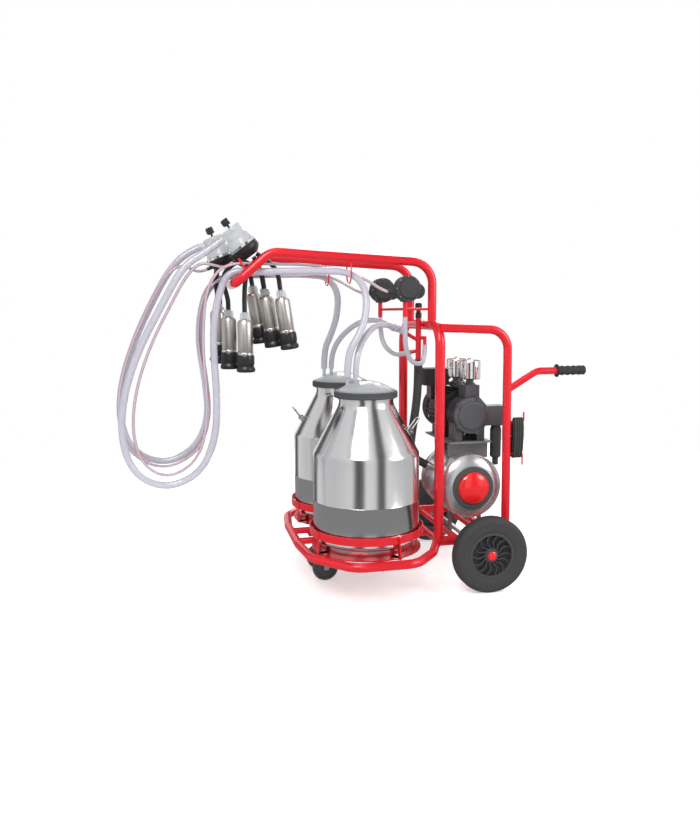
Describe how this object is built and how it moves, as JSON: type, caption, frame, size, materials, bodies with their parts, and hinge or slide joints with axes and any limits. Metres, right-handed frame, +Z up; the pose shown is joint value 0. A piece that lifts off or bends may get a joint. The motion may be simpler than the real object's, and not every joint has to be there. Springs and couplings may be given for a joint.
{
  "type": "portable milking machine",
  "caption": "Wheeled milking machine: tube trolley with steel churns under clear lids, vane pump and vacuum tank, and clusters of teat cups on clear hoses over an arm.",
  "frame": {"origin": "on the floor, under the middle of the machine's bounding box, cords left out", "axes": "+X towards the push handle, -Y the side with the tank's red cap, +Z up"},
  "size_m": [1.6174, 0.862, 1.266],
  "materials": {
    "red_paint": "gloss",
    "grip_rubber": "matte",
    "black_plastic": "matte",
    "tank_paint": "satin",
    "seal_rubber": "matte",
    "red_plastic": "gloss",
    "bracket_steel": "satin",
    "zinc_steel": "satin",
    "tyre_rubber": "matte",
    "hub_plastic": "matte",
    "caster_rubber": "matte",
    "motor_paint": "satin",
    "cast_iron": "satin",
    "bright_steel": "machined",
    "chrome": "polished",
    "silencer_rubber": "matte",
    "stainless": "polished",
    "clear_plastic": "clear",
    "claw_rubber": "matte",
    "valve_plastic": "gloss",
    "clear_hose": "clear",
    "black_hose": "matte",
    "lead_rubber": "matte"
  },
  "bodies": {
    "frame": {"front_arch": "red_paint", "base_rails": "red_paint", "rear_hoop": "red_paint", "cluster_arm": "red_paint", "bumper_tube": "red_paint", "near_cradle": "red_paint", "far_cradle": "red_paint", "handle_tube": "red_paint", "cable_winder": "red_paint", "vacuum_pipes": "red_paint", "handle_grip": "grip_rubber", "vacuum_regulator": "black_plastic", "pulsator_bodies": "black_plastic", "pulsator_caps": "black_plastic", "terminal_box": "black_plastic", "fan_cover": "black_plastic", "tank_shell": "tank_paint", "tank_gasket": "seal_rubber", "lid_gaskets": "seal_rubber", "tank_brackets": "bracket_steel", "wheel_axle": "zinc_steel", "motor_housing": "motor_paint", "pump_casing": "cast_iron", "pump_cover": "cast_iron", "filter_cans": "chrome", "silencer": "silencer_rubber", "near_bucket": "stainless", "far_bucket": "stainless", "teat_shells": "stainless", "claw_bowls": "clear_plastic", "sight_tubes": "clear_plastic", "claw_bodies": "claw_rubber", "teat_liners": "claw_rubber", "milk_hoses": "clear_hose", "pulse_tubes": "clear_hose", "lid_hoses": "clear_hose", "pulsator_hoses": "clear_hose", "hose_joiner": "clear_hose", "tank_hose": "black_hose", "mains_lead": "lead_rubber", "lead_winding": "lead_rubber", "mains_plug": "lead_rubber"},
    "near_wheel": {"near_tyre": "tyre_rubber", "near_hub": "hub_plastic"},
    "far_wheel": {"far_tyre": "tyre_rubber", "far_hub": "hub_plastic"},
    "near_caster_swivel": {"near_caster_fork": "zinc_steel"},
    "far_caster_swivel": {"far_caster_fork": "zinc_steel"},
    "near_caster_roller": {"near_caster_wheel": "caster_rubber"},
    "far_caster_roller": {"far_caster_wheel": "caster_rubber"},
    "near_lid": {"near_lid": "clear_plastic"},
    "far_lid": {"far_lid": "clear_plastic"},
    "near_bail": {"near_bucket_handle": "stainless"},
    "far_bail": {"far_bucket_handle": "stainless"},
    "rotor": {"rotor_shaft": "bright_steel", "pump_rotor": "bright_steel", "cooling_fan": "black_plastic"},
    "near_valve": {"near_claw_valve": "valve_plastic"},
    "far_valve": {"far_claw_valve": "valve_plastic"},
    "tank_cap": {"tank_cap": "red_plastic"}
  },
  "joints": [
    {"name": "near_wheel_spin", "type": "hinge", "parent": "frame", "child": "near_wheel", "pos_m": [0.27035, -0.316, 0.1319], "axis": [0, 1, 0], "continuous": true},
    {"name": "far_wheel_spin", "type": "hinge", "parent": "frame", "child": "far_wheel", "pos_m": [0.27035, 0.316, 0.1319], "axis": [0, 1, 0], "continuous": true},
    {"name": "near_caster_turn", "type": "hinge", "parent": "frame", "child": "near_caster_swivel", "pos_m": [-0.23625, -0.066, 0.12], "axis": [0, 0, 1], "continuous": true},
    {"name": "far_caster_turn", "type": "hinge", "parent": "frame", "child": "far_caster_swivel", "pos_m": [-0.23625, 0.066, 0.12], "axis": [0, 0, 1], "continuous": true},
    {"name": "near_caster_spin", "type": "hinge", "parent": "near_caster_swivel", "child": "near_caster_roller", "pos_m": [-0.25425, -0.066, 0.046], "axis": [0, 1, 0], "continuous": true},
    {"name": "far_caster_spin", "type": "hinge", "parent": "far_caster_swivel", "child": "far_caster_roller", "pos_m": [-0.25425, 0.066, 0.046], "axis": [0, 1, 0], "continuous": true},
    {"name": "near_lid_lift", "type": "slide", "parent": "frame", "child": "near_lid", "axis": [0, 0, 1], "range_m": [0, 0.06], "deforming": ["milk_hoses", "lid_hoses"]},
    {"name": "far_lid_lift", "type": "slide", "parent": "frame", "child": "far_lid", "axis": [0, 0, 1], "range_m": [0, 0.06], "deforming": ["milk_hoses", "lid_hoses"]},
    {"name": "near_bail_swing", "type": "hinge", "parent": "frame", "child": "near_bail", "pos_m": [0.01575, -0.2044, 0.553], "axis": [0, 1, 0], "range_deg": [-45, 80]},
    {"name": "far_bail_swing", "type": "hinge", "parent": "frame", "child": "far_bail", "pos_m": [-0.28825, 0.2044, 0.553], "axis": [0, -1, 0], "range_deg": [-45, 80]},
    {"name": "rotor_spin", "type": "hinge", "parent": "frame", "child": "rotor", "pos_m": [0.26375, 0, 0.588], "axis": [0, 1, 0], "continuous": true},
    {"name": "near_valve_pull", "type": "slide", "parent": "frame", "child": "near_valve", "axis": [-0.6022, 0, 0.7983], "range_m": [0, 0.008]},
    {"name": "far_valve_pull", "type": "slide", "parent": "frame", "child": "far_valve", "axis": [-0.3779, 0, 0.9258], "range_m": [0, 0.008]},
    {"name": "tank_cap_pull", "type": "slide", "parent": "frame", "child": "tank_cap", "axis": [0, -1, 0], "range_m": [0, 0.04]}
  ]
}
